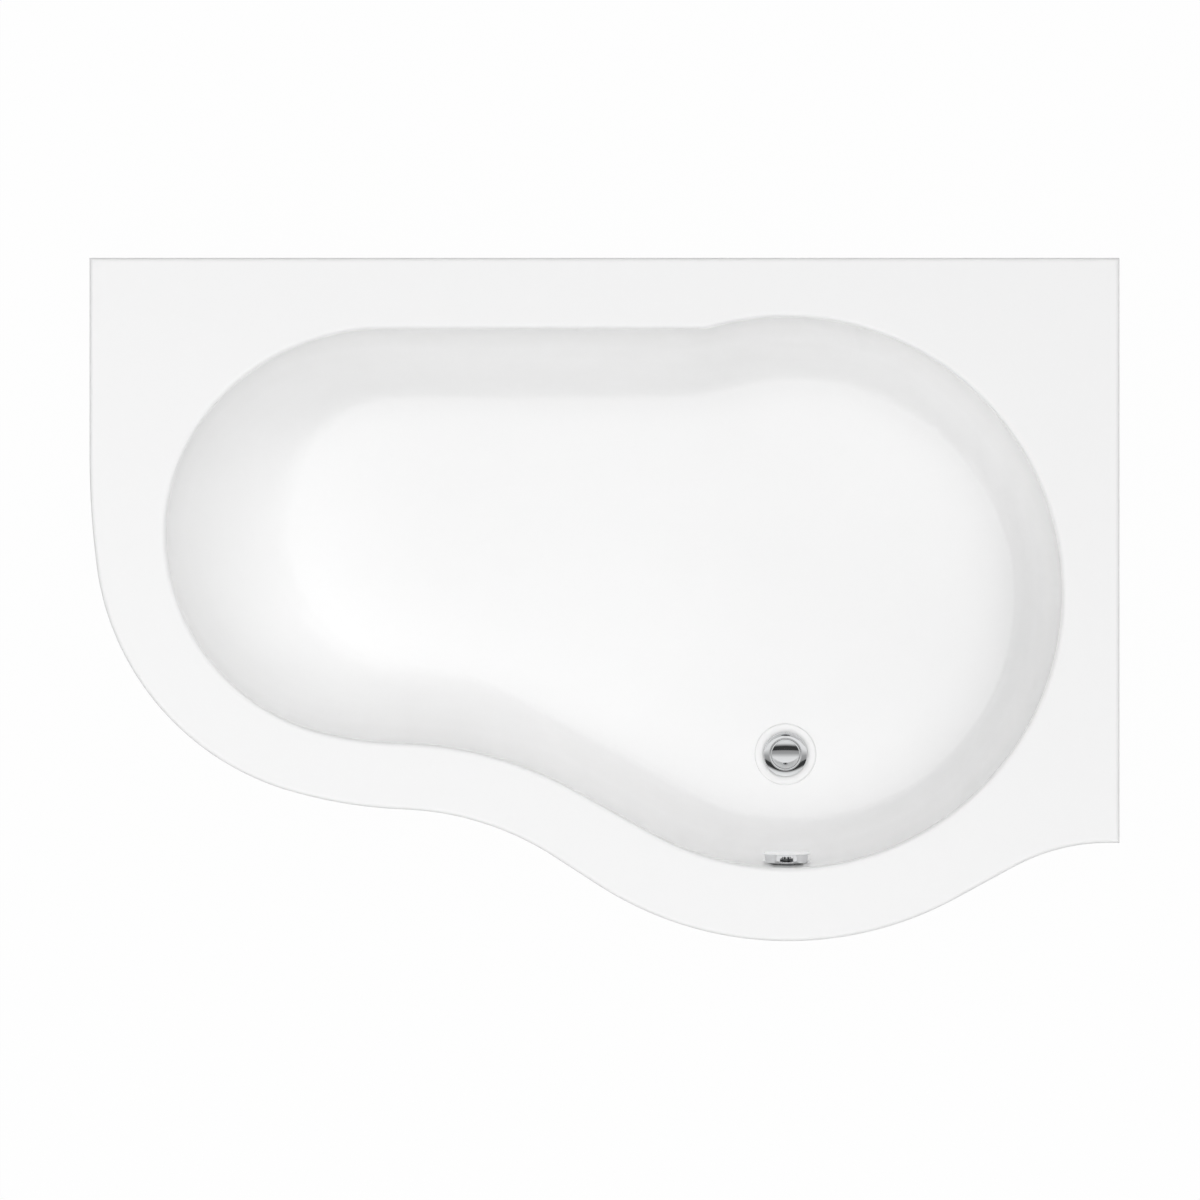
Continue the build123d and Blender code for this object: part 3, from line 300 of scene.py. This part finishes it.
patches, given, filled = effect("patches", [place_socket, scale_socket, *colour_sockets], surface_sockets)
cells = put(patches, "ShaderNodeTexVoronoi", {"Vector": given["Place"], "Scale": given["Scale"]})
chance = put(patches, "ShaderNodeSeparateColor", {0: cells.outputs["Color"]})
patches.links.new(blend(patches, chance.outputs[0], given["Dark"], given["Light"]), filled["Color"])
patches.links.new(chance.outputs[1], filled["Height"])

strands, given, filled = effect("strands", [place_socket, *colour_sockets], surface_sockets)
highest = None
for turn in ((0.2, 0.5, 0.3), (1.3, 0.2, 1.4), (0.6, 1.2, 2.5)):
    turned = {"Vector": given["Place"], "Rotation": turn, "Scale": (22, 520, 520)}
    stretched = put(strands, "ShaderNodeMapping", turned)
    streaks = put(strands, "ShaderNodeTexNoise", {"Vector": stretched.outputs[0], "Scale": 1.0, "Detail": 2.0})
    layer = put(
        strands,
        "ShaderNodeMapRange",
        {"Value": streaks.outputs[0], "From Min": 0.5, "From Max": 0.68},
    ).outputs[0]
    if highest is None:
        highest = layer
    else:
        highest = put(strands, "ShaderNodeMath", {0: highest, 1: layer}, operation="MAXIMUM").outputs[0]
strands.links.new(blend(strands, highest, given["Dark"], given["Light"]), filled["Color"])
strands.links.new(highest, filled["Height"])

stretch_socket = ("Stretch", "NodeSocketVector")
streaky, given, filled = effect("streaky", [place_socket, stretch_socket, *colour_sockets], surface_sockets)
drawn = put(streaky, "ShaderNodeMapping", {"Vector": given["Place"], "Scale": given["Stretch"]})
rings_of_years = {"Vector": drawn.outputs[0], "Scale": 1.0, "Detail": 6.0, "Distortion": 0.6}
years = put(streaky, "ShaderNodeTexNoise", rings_of_years)
streaky.links.new(blend(streaky, years.outputs[0], given["Dark"], given["Light"]), filled["Color"])
streaky.links.new(years.outputs[0], filled["Height"])

thread, given, filled = effect("thread", [place_socket, scale_socket], [("Height", "NodeSocketFloat")])
turns = {"Vector": given["Place"], "Scale": given["Scale"], "Distortion": 0.0}
waves = put(thread, "ShaderNodeTexWave", turns, bands_direction="Z")
thread.links.new(waves.outputs["Fac"], filled["Height"])


def dress(name, group, values, bump=0.0, coloured=True, **constants):
    """Material with a shared effect: its colour, and its height as a bump of so many metres"""
    made, tree, shader, place = finish(name, **constants)
    source = put(tree, "ShaderNodeGroup", node_tree=group)
    for key, value in {"Place": place, **values}.items():
        if isinstance(value, bpy.types.NodeSocket):
            tree.links.new(value, source.inputs[key])
        else:
            source.inputs[key].default_value = value
    if coloured:
        tree.links.new(source.outputs["Color"], shader.inputs["Base Color"])
    if bump:
        relief = put(tree, "ShaderNodeBump", {"Height": source.outputs["Height"], "Distance": bump})
        tree.links.new(relief.outputs["Normal"], shader.inputs["Normal"])
    return made


def tone(red, green, blue):
    """Opaque colour"""
    return (red, green, blue, 1)


print("effects", [group.name for group in bpy.data.node_groups])

# %% [markdown]
# ## Finishes
# Acrylic is plain, white and glossy. Glassfibre is cream with paler strands lying every way.
# Zinc-dipped steel shows patches where the zinc froze. Threads are too fine to model here, so a
# bump draws their turns.

# %% Acrylic and chrome
acrylic_ior = 1.49
shell_white = tone(0.95, 0.95, 0.95)
panel_white = tone(0.93, 0.93, 0.93)
polished = tone(0.86, 0.87, 0.88)
finishes = {}
finishes["bath_acrylic"], *_ = finish("bath_acrylic", base_color=shell_white, roughness=0.12, ior=acrylic_ior)
finishes["panel_acrylic"], *_ = finish("panel_acrylic", base_color=panel_white, roughness=0.15, ior=acrylic_ior)
finishes["chrome_trim"], *_ = finish("chrome_trim", base_color=polished, roughness=0.05, metallic=1.0)
print(len(finishes), "plain finishes")

# %% Glassfibre, chipboard and timber
finishes["glassfibre"] = dress(
    "glassfibre",
    strands,
    {"Dark": tone(0.68, 0.66, 0.57), "Light": tone(0.86, 0.85, 0.79)},
    bump=0.0004,
    roughness=0.45,
)
finishes["chipboard"] = dress(
    "chipboard",
    patches,
    {"Scale": 260.0, "Dark": tone(0.36, 0.25, 0.14), "Light": tone(0.66, 0.52, 0.34)},
    bump=0.0002,
    roughness=0.75,
)
softwood = {"Dark": tone(0.55, 0.36, 0.18), "Light": tone(0.82, 0.66, 0.44)}
along_x = {"Stretch": (3, 160, 160), **softwood}
along_y = {"Stretch": (160, 3, 160), **softwood}
finishes["timber"] = dress("timber_along_x", streaky, along_x, bump=0.0002, roughness=0.7)
timber_along_y = dress("timber_along_y", streaky, along_y, bump=0.0002, roughness=0.7)
print(len(finishes), "finishes so far")

# %% Metals
finishes["galvanised_steel"] = dress(
    "galvanised_steel",
    patches,
    {"Scale": 110.0, "Dark": tone(0.5, 0.52, 0.54), "Light": tone(0.72, 0.74, 0.76)},
    metallic=1.0,
    roughness=0.38,
)
finishes["zinc_steel"] = dress(
    "zinc_steel",
    grain,
    {"Scale": 400.0, "Dark": tone(0.58, 0.58, 0.55), "Light": tone(0.76, 0.76, 0.74)},
    metallic=1.0,
    roughness=0.3,
)
threaded_steel = dress(
    "threaded_steel",
    thread,
    {"Scale": 209.0},
    bump=0.0006,
    coloured=False,
    base_color=tone(0.68, 0.68, 0.66),
    metallic=1.0,
    roughness=0.3,
)
finishes["brass_parts"] = dress(
    "brass_parts",
    grain,
    {"Scale": 300.0, "Dark": tone(0.6, 0.42, 0.17), "Light": tone(0.8, 0.6, 0.3)},
    metallic=1.0,
    roughness=0.28,
)
finishes["steel_wire"] = dress(
    "steel_wire",
    grain,
    {"Scale": 900.0, "Dark": tone(0.42, 0.42, 0.42), "Light": tone(0.64, 0.64, 0.64)},
    metallic=1.0,
    roughness=0.35,
)
print(len(finishes), "finishes so far")

# %% Rubber and plastics
finishes["rubber_seal"] = dress(
    "rubber_seal",
    grain,
    {"Scale": 700.0, "Dark": tone(0.02, 0.02, 0.02), "Light": tone(0.06, 0.06, 0.06)},
    bump=0.0001,
    roughness=0.65,
)
finishes["white_plastic"] = dress(
    "white_plastic",
    grain,
    {"Scale": 600.0, "Dark": tone(0.82, 0.82, 0.8), "Light": tone(0.88, 0.88, 0.86)},
    bump=0.00003,
    roughness=0.3,
)
finishes["grey_plastic"] = dress(
    "grey_plastic",
    grain,
    {"Scale": 600.0, "Dark": tone(0.42, 0.43, 0.44), "Light": tone(0.54, 0.55, 0.56)},
    bump=0.00005,
    roughness=0.45,
)
finishes["black_plastic"] = dress(
    "black_plastic",
    grain,
    {"Scale": 600.0, "Dark": tone(0.025, 0.025, 0.025), "Light": tone(0.055, 0.055, 0.055)},
    bump=0.00005,
    roughness=0.5,
)
print(len(finishes), "finishes in all")

# %% A finish for each piece, by its slot
for part in frame["record"]["subparts"]:
    piece = nodes[part["node"]]
    piece.data.materials.clear()
    chosen = finishes[part["material_slot"]]
    if part["node"].startswith("leg_rod"):
        chosen = threaded_steel
    if part["node"] in ("rim_batten_left", "rim_batten_right"):
        chosen = timber_along_y
    piece.data.materials.append(chosen)
print("finishes on", len(nodes), "pieces")


# %% [markdown]
# ## Drawing the plan
# The bath's plan is made of arcs that run smoothly one into the next, which is how a mould maker
# draws it. Each ring of points below follows such a chain, with the same number of points on each
# arc at every height, so that neighbouring rings can be joined by plain four-sided faces.

# %% Chains of arcs
def outward(heading):
    """Unit vector to the outside of a line that runs counter-clockwise along a heading"""
    return Vector((math.sin(math.radians(heading)), -math.cos(math.radians(heading))))


def ahead(heading):
    """Unit vector along a heading"""
    return Vector((math.cos(math.radians(heading)), math.sin(math.radians(heading))))


def travel(heading, arcs):
    """Distance covered by a chain of arcs, each given as (radius, turn)"""
    way = Vector((0, 0))
    for radius, turn in arcs:
        signed = radius if turn > 0 else -radius
        way += signed * (outward(heading + turn) - outward(heading))
        heading += turn
    return way


def chain(point, heading, steps, counts):
    """Points along arcs, given as (radius, turn), and straight runs, given as a length"""
    points = []
    for step, count in zip(steps, counts):
        is_arc = isinstance(step, tuple)
        turn = step[1] if is_arc else 0
        for index in range(count + 1):
            share_done = index / max(count, 1)
            if is_arc:
                place = point + travel(heading, [(step[0], turn * share_done)])
            else:
                place = point + step * share_done * ahead(heading)
            if index < count:
                points.append(place)
        point = point + (travel(heading, [step]) if is_arc else step * ahead(heading))
        heading += turn
    return points


# %% [markdown]
# ## Rim and bowl outlines
# The rim's front swells around the head and around the wide foot end, with a waist between them.
# The bowl has the same kidney form. Between rim and floor every size of it changes at one rate:
# part straight slope, part quarter ellipse, so that the wall runs into the floor without a crease.

# %% Outline of the rim
def rim_ring(inset):
    """Rim outline in millimetres, moved inwards by an inset"""
    arcs = [(1243 - inset, 7.4), (394 - inset, 66.5), (700 - inset, 13.9), (431 + inset, -30.7)]
    into_foot = -32.9
    out_of_foot = 28.5
    foot_radius = 511 - inset
    centre = Vector((267.5, 13.5))
    left, right, back = -750 + inset, 750 - inset, 497.5 - inset
    way = travel(-90, arcs)
    reached = centre + foot_radius * outward(into_foot)
    waist_run = (reached.x - left - way.x) / math.cos(math.radians(into_foot))
    start = Vector((left, reached.y - way.y - waist_run * math.sin(math.radians(into_foot))))
    flare = (285.5 + inset, -out_of_foot)
    leaving = centre + foot_radius * outward(out_of_foot)
    flare_way = travel(out_of_foot, [flare])
    flare_y = -354.5 + inset
    flare_run = (flare_y - leaving.y - flare_way.y) / math.sin(math.radians(out_of_foot))
    flare_end = leaving + flare_run * ahead(out_of_foot) + flare_way
    steps = [*arcs, waist_run, (foot_radius, 61.4), flare_run, flare]
    corner = (0.0, 90)
    steps += [right - flare_end.x, corner, back - flare_y, corner, right - left, corner, back - start.y]
    counts = [12, 56, 14, 30, 6, 56, 4, 28, 6, 0, 24, 0, 48, 0, 14]
    return chain(start, -90, steps, counts)


# %% Outline of the bowl
at_rim = (110.6, 97.3, 300.2, 488.2, 555.9, 401.5, 65.0, 333.2, 280.9)
at_floor = (292.0, 97.8, 199.0, 108.0, 342.0, 320.0, 482.0, 138.0, 218.0)
front_turns = (75, 13.9, -28)
foot_turns = (224.7, -15.6)
back_turns = (46.8, 43.2)
waist_heading = sum(front_turns) - 90
straight_share = 0.3
floor_fall = 0.8
depth = 400.0
plug_low, plug_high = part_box("plug_cap")
waste_x = (plug_low[0] + plug_high[0]) * 500
waste_y = (plug_low[1] + plug_high[1]) * 500


def bowl_ring(level, grow):
    """Bowl outline from level 0 at the rim to 1 at the floor, in millimetres, grown outwards"""
    rounded = 1 - math.sqrt(1 - level**2)
    way_down = straight_share * level + (1 - straight_share) * rounded
    sizes = [top + (bottom - top) * way_down for top, bottom in zip(at_rim, at_floor)]
    inset, end_y, head, bend, waist, foot, neck, shoulder, end = sizes
    front = list(zip((head + grow, bend + grow, waist - grow), front_turns))
    round_foot = list(zip((foot + grow, neck - grow), foot_turns))
    back = list(zip((shoulder + grow, end + grow), back_turns))
    gap = travel(-90, front) + travel(waist_heading, round_foot) + travel(180, back)
    waist_run = -gap.y / math.sin(math.radians(waist_heading))
    back_run = gap.x + waist_run * math.cos(math.radians(waist_heading))
    steps = [*front, waist_run, *round_foot, back_run, *back]
    start = Vector((-750 + inset - grow, end_y))
    return chain(start, -90, steps, [48, 10, 24, 10, 120, 12, 26, 28, 28])


def bowl_height(level, x):
    """Height of a bowl outline, which tilts towards the waste as it nears the floor"""
    fall = (x - waste_x) * math.tan(math.radians(floor_fall * level))
    return rim_height * 1000 - depth * level - fall


print("bowl outline", len(bowl_ring(0, 0)), "points, rim outline", len(rim_ring(0)), "points")


# %% [markdown]
# ## Acrylic shell
# A real bath shell is one heated sheet of acrylic, sucked down over a mould, so this one is one
# sheet too: rings of points run up the outer lip, over the rim, round the edge of the bowl, down
# its wall and across the floor. The flat rim and the floor are filled around their holes, and a
# solidify modifier gives the sheet its 5 mm.

# %% Helpers for meshes
def add_ring(shape, points):
    """Vertices at points in millimetres"""
    return [shape.verts.new(Vector(point) / 1000) for point in points]


def join(shape, first, second):
    """Band of faces between two rings with the same number of points"""
    for index in range(len(first)):
        after = (index + 1) % len(first)
        shape.faces.new((first[index], first[after], second[after], second[index]))


def fill_between(shape, outer, inner):
    """Flat fill between an outer ring and a ring within it"""
    edges = []
    for ring in (outer, inner):
        for index, vertex in enumerate(ring):
            following = ring[(index + 1) % len(ring)]
            edges.append(shape.edges.get((vertex, following)) or shape.edges.new((vertex, following)))
    bmesh.ops.triangle_fill(shape, use_beauty=True, edges=edges, normal=(0, 0, 1))


def add_piece(name, shape, material, sharp_angle=35):
    """Object from a bmesh, smooth except at edges sharper than an angle"""
    for face in shape.faces:
        face.smooth = True
    for edge in shape.edges:
        if edge.is_manifold:
            edge.smooth = edge.calc_face_angle() < math.radians(sharp_angle)
    mesh = bpy.data.meshes.new(name)
    shape.to_mesh(mesh)
    shape.free()
    mesh.materials.append(material)
    piece = bpy.data.objects.new(name, mesh)
    bpy.context.scene.collection.objects.link(piece)
    return piece


def circle_points(radius, height=None):
    """Circle round the waste, at a height or on the sloping floor, in millimetres"""
    points = []
    for index in range(96):
        x = waste_x + radius * math.cos(index * math.tau / 96)
        y = waste_y + radius * math.sin(index * math.tau / 96)
        points.append((x, y, bowl_height(1, x) if height is None else height))
    return points


# %% One sheet from the lip to the waste
top = rim_height * 1000
shape = bmesh.new()
lip_depth = 38
rim_edge_radius = 6.0
bowl_edge_radius = 6.5
rings = [add_ring(shape, [(*point, top - lip_depth) for point in rim_ring(0)])]
for turn in range(0, 91, 10):
    inset = rim_edge_radius * (1 - math.cos(math.radians(turn)))
    height = top - rim_edge_radius * (1 - math.sin(math.radians(turn)))
    rings.append(add_ring(shape, [(*point, height) for point in rim_ring(inset)]))
rings.append(add_ring(shape, [(*point, top) for point in rim_ring(rim_edge_radius + 2)]))
for first, second in zip(rings, rings[1:]):
    join(shape, first, second)
rim_edge = rings[-1]

stations = [(0, bowl_edge_radius + 2)]
for turn in range(0, 91, 10):
    down = bowl_edge_radius * (1 - math.cos(math.radians(turn)))
    out = bowl_edge_radius * (1 - math.sin(math.radians(turn)))
    stations.append((down / depth, out))
start_angle = math.asin(bowl_edge_radius / depth)
for step in range(1, 41):
    stations.append((math.sin(start_angle + (math.pi / 2 - start_angle) * step / 40), 0))
stations.append((1, -3))
rings = []
for level, grow in stations:
    ring = [(*point, bowl_height(level, point.x)) for point in bowl_ring(level, grow)]
    rings.append(add_ring(shape, ring))
for first, second in zip(rings, rings[1:]):
    join(shape, first, second)
fill_between(shape, rim_edge, rings[0])
print("rim and wall", len(shape.faces), "faces")

# %% Recess round the waste
recess_depth = 3
recess_radius = 45
recess_corner = 2.5
drain_radius = 26
recess_floor = top - depth - recess_depth
recess = [add_ring(shape, circle_points(recess_radius + beyond)) for beyond in (1.5, 0.6)]
recess.append(add_ring(shape, [(x, y, z - 0.4) for x, y, z in circle_points(recess_radius + 0.1)]))
for turn in range(0, 91, 15):
    radius = recess_radius - recess_corner * (1 - math.cos(math.radians(turn)))
    height = recess_floor + recess_corner * (1 - math.sin(math.radians(turn)))
    recess.append(add_ring(shape, circle_points(radius, height)))
for radius in (recess_radius - recess_corner - 1, drain_radius):
    recess.append(add_ring(shape, circle_points(radius, recess_floor)))
for first, second in zip(recess, recess[1:]):
    join(shape, first, second)
fill_between(shape, rings[-1], recess[0])
print("sheet", len(shape.faces), "faces")

# %% [markdown]
# ## Overflow hole
# The overflow goes through the front wall, under its chrome knob. The faces there are taken out,
# a circle is laid in the wall, and the gap between the two is bridged.

# %% Hole in the wall
sheet_thickness = 0.005
upper_level, lower_level = 0.12, 0.34
wall_above = min(point.y for point in bowl_ring(upper_level, 0))
wall_below = min(point.y for point in bowl_ring(lower_level, 0))
wall_lean = math.atan2(wall_below - wall_above, (lower_level - upper_level) * depth)
hole_drop = 88
hole_radius = 0.0215
cleared_radius = 0.03
hole_y = wall_above + (hole_drop - upper_level * depth) * math.tan(wall_lean)
hole_centre = Vector((waste_x, hole_y, top - hole_drop)) / 1000
near = [face for face in shape.faces if (face.calc_center_median() - hole_centre).length < cleared_radius]
bmesh.ops.delete(shape, geom=near, context="FACES")
gap_edges = []
for edge in shape.edges:
    middle = (edge.verts[0].co + edge.verts[1].co) / 2
    if edge.is_boundary and (middle - hole_centre).length < 2 * cleared_radius:
        gap_edges.append(edge)
laid = Matrix.Translation(hole_centre) @ Matrix.Rotation(wall_lean - math.pi / 2, 4, "X")
circle = bmesh.ops.create_circle(shape, segments=48, radius=hole_radius, matrix=laid)
circle_edges = list({edge for vertex in circle["verts"] for edge in vertex.link_edges})
bmesh.ops.bridge_loops(shape, edges=gap_edges + circle_edges)
bmesh.ops.recalc_face_normals(shape, faces=shape.faces)
if sum(face.calc_area() * face.normal.z for face in shape.faces) < 0:
    bmesh.ops.reverse_faces(shape, faces=shape.faces)
skin = add_piece("bath_skin", shape, finishes["bath_acrylic"])
thickness = skin.modifiers.new("thickness", "SOLIDIFY")
thickness.thickness = sheet_thickness
thickness.offset = -1
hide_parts("bath_shell")
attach(skin, "bath")
print("wall faces taken out", len(near), "edges bridged", len(gap_edges))


# %% [markdown]
# ## Plug
# The plug is a shallow polished dome in a flat ring. A lathe turns such a piece, and so does the
# spin operator: it sweeps half of the section once round the middle.

# %% Spun plug
def spun(name, section, centre, material, body, replaced):
    """Round piece from (radius, height) points in metres"""
    shape = bmesh.new()
    verts = [shape.verts.new((centre[0] + radius, centre[1], height)) for radius, height in section]
    edges = [shape.edges.new(pair) for pair in zip(verts, verts[1:])]
    axis = {"cent": (*centre, 0), "axis": (0, 0, 1)}
    bmesh.ops.spin(shape, geom=verts + edges, angle=math.tau, steps=128, use_merge=True, **axis)
    bmesh.ops.remove_doubles(shape, verts=shape.verts, dist=0.000002)
    bmesh.ops.recalc_face_normals(shape, faces=shape.faces)
    piece = add_piece(name, shape, material)
    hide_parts(replaced)
    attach(piece, body)
    return piece


plug_top = plug_high[2]
dome_radius, dome_rise = 0.02, 0.003
ball = (dome_radius**2 + dome_rise**2) / (2 * dome_rise)
section = []
for step in range(25):
    radius = dome_radius * step / 24
    section.append((radius, plug_top - ball + math.sqrt(ball**2 - radius**2)))
rim_top = plug_top - dome_rise
section += [(0.0201, rim_top - 0.0003), (0.0204, rim_top - 0.0003), (0.0206, rim_top - 0.0001)]
section += [(0.0208, rim_top), (0.0224, rim_top), (0.0228, rim_top - 0.0002), (0.023, rim_top - 0.0006)]
section += [(0.023, rim_top - 0.0013), (0.0228, rim_top - 0.0015), (0.0165, rim_top - 0.0015)]
section += [(0.0165, plug_low[2] + 0.0003), (0.0162, plug_low[2]), (0, plug_low[2])]
plug_centre = (waste_x / 1000, waste_y / 1000)
plug = spun("plug_dome", section, plug_centre, finishes["chrome_trim"], "plug", "plug_cap")
print("plug", len(plug.data.polygons), "faces")
